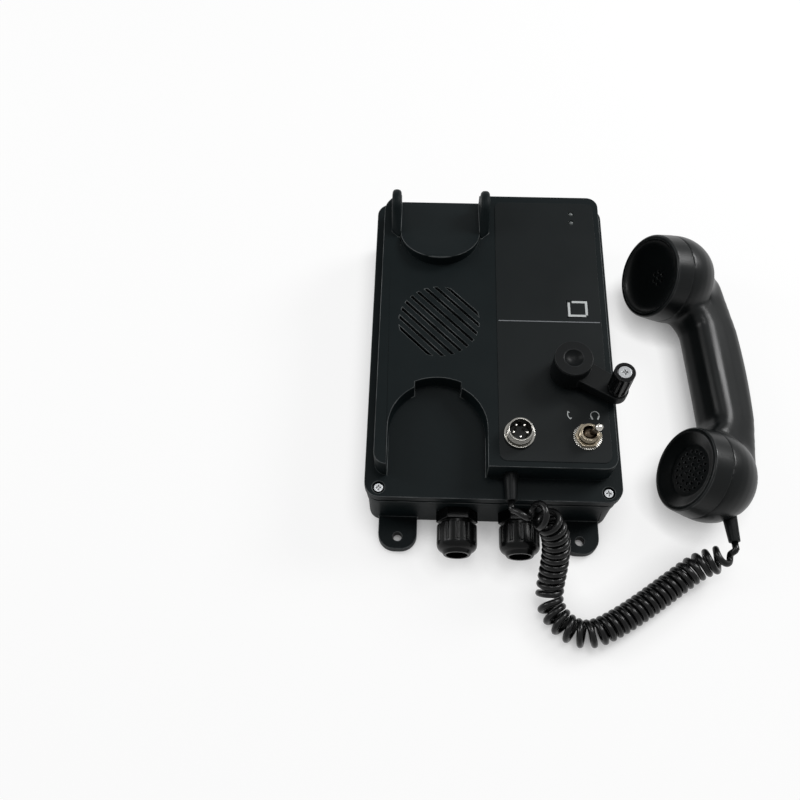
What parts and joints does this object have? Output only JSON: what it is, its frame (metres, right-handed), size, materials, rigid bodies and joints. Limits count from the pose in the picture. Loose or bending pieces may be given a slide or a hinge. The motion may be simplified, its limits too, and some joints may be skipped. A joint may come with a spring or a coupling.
{
  "type": "sound-powered telephone",
  "caption": "Wall telephone with a hand crank for calling, a handset cradle, a grille, a panel socket and toggle switch, and a handset on a curly cord.",
  "frame": {"origin": "middle of the housing's back face, at the centre of the four lug holes", "axes": "+Z out of the front face, +Y up the face towards the ear seat, +X to the right"},
  "size_m": [0.266, 0.3355, 0.1035],
  "materials": {
    "housing_black": "fine moulded texture",
    "seal_black": "satin rubber",
    "panel_grey": "smooth matte sheet",
    "gloss_black": "polished plastic",
    "cord_black": "glossy cord jacket",
    "steel": "plain steel",
    "nickel": "nickel plate",
    "brass": "machined brass",
    "lamp_grey": "clear unlit lens",
    "magnet_grey": "plain magnet",
    "copper": "enamelled copper wire",
    "board_green": "board lacquer",
    "core_brown": "varnished core",
    "cloth_black": "woven cloth",
    "cone_black": "pressed paper",
    "insert_black": "moulded insert",
    "silver": "plated contact",
    "cream": "moulded terminal block"
  },
  "bodies": {
    "housing": {"base_housing": "housing_black", "cover_gasket": "seal_black", "front_cover": "housing_black", "cover_screws": "steel", "panel_overlay": "panel_grey", "upper_led": "lamp_grey", "lower_led": "lamp_grey", "crank_bush": "brass", "stator_can": "steel", "stator_coil": "copper", "generator_frame": "steel", "generator_screws": "steel", "circuit_board": "board_green", "board_screws": "steel", "call_switch": "insert_black", "line_transformer": "core_brown", "speaker_frame": "steel", "speaker_cone": "cone_black", "speaker_magnet": "magnet_grey", "grille_cloth": "cloth_black", "socket_shell": "nickel", "socket_insert": "insert_black", "socket_pins": "silver", "socket_nut": "nickel", "toggle_body": "insert_black", "toggle_bushing": "nickel", "toggle_washer": "nickel", "toggle_nut": "nickel", "left_gland_body": "gloss_black", "left_gland_nut": "gloss_black", "left_gland_seal": "seal_black", "left_gland_locknut": "gloss_black", "right_gland_body": "gloss_black", "right_gland_nut": "gloss_black", "right_gland_seal": "seal_black", "right_gland_locknut": "gloss_black", "terminal_block": "cream", "terminal_screws": "brass", "base_cord_boot": "gloss_black", "curly_cord": "cord_black"},
    "crank": {"crank_shaft": "steel", "crank_arm": "gloss_black", "hub_cap": "gloss_black", "crank_screw": "steel", "knob_pin": "steel", "drive_gear": "brass"},
    "knob": {"crank_knob": "gloss_black"},
    "rotor": {"rotor_pinion": "steel", "rotor_magnet": "magnet_grey"},
    "toggle": {"toggle_lever": "nickel"},
    "key": {"call_key": "panel_grey"},
    "handset": {"handset_shell": "gloss_black", "ear_cap": "gloss_black", "mouth_cap": "gloss_black", "receiver_capsule": "steel", "transmitter_capsule": "steel", "handset_cord_boot": "gloss_black"}
  },
  "joints": [
    {"name": "crank_turn", "type": "hinge", "parent": "housing", "child": "crank", "pos_m": [0.0485, -0.0345, 0.07], "axis": [0, 0, 1], "continuous": true},
    {"name": "knob_spin", "type": "hinge", "parent": "crank", "child": "knob", "pos_m": [0.07627, -0.05119, 0.092], "axis": [0, 0, 1], "continuous": true},
    {"name": "rotor_spin", "type": "hinge", "parent": "housing", "child": "rotor", "pos_m": [0.0485, -0.0065, 0.03], "axis": [0, 0, 1], "continuous": true},
    {"name": "toggle_flip", "type": "hinge", "parent": "housing", "child": "toggle", "pos_m": [0.058, -0.0798, 0.0725], "axis": [0, 1, 0], "range_deg": [-40, 0]},
    {"name": "key_press", "type": "slide", "parent": "housing", "child": "key", "axis": [0, 0, -1], "range_m": [0, 0.0004], "stiffness_N_per_m": 1500},
    {"name": "handset_lift", "type": "slide", "parent": "housing", "child": "handset", "axis": [0, 0, 1], "range_m": [0, 0.12], "deforming": ["curly_cord"]}
  ],
  "couplings": [
    {"joint": "rotor_spin", "follows": "crank_turn", "ratio": -4}
  ]
}
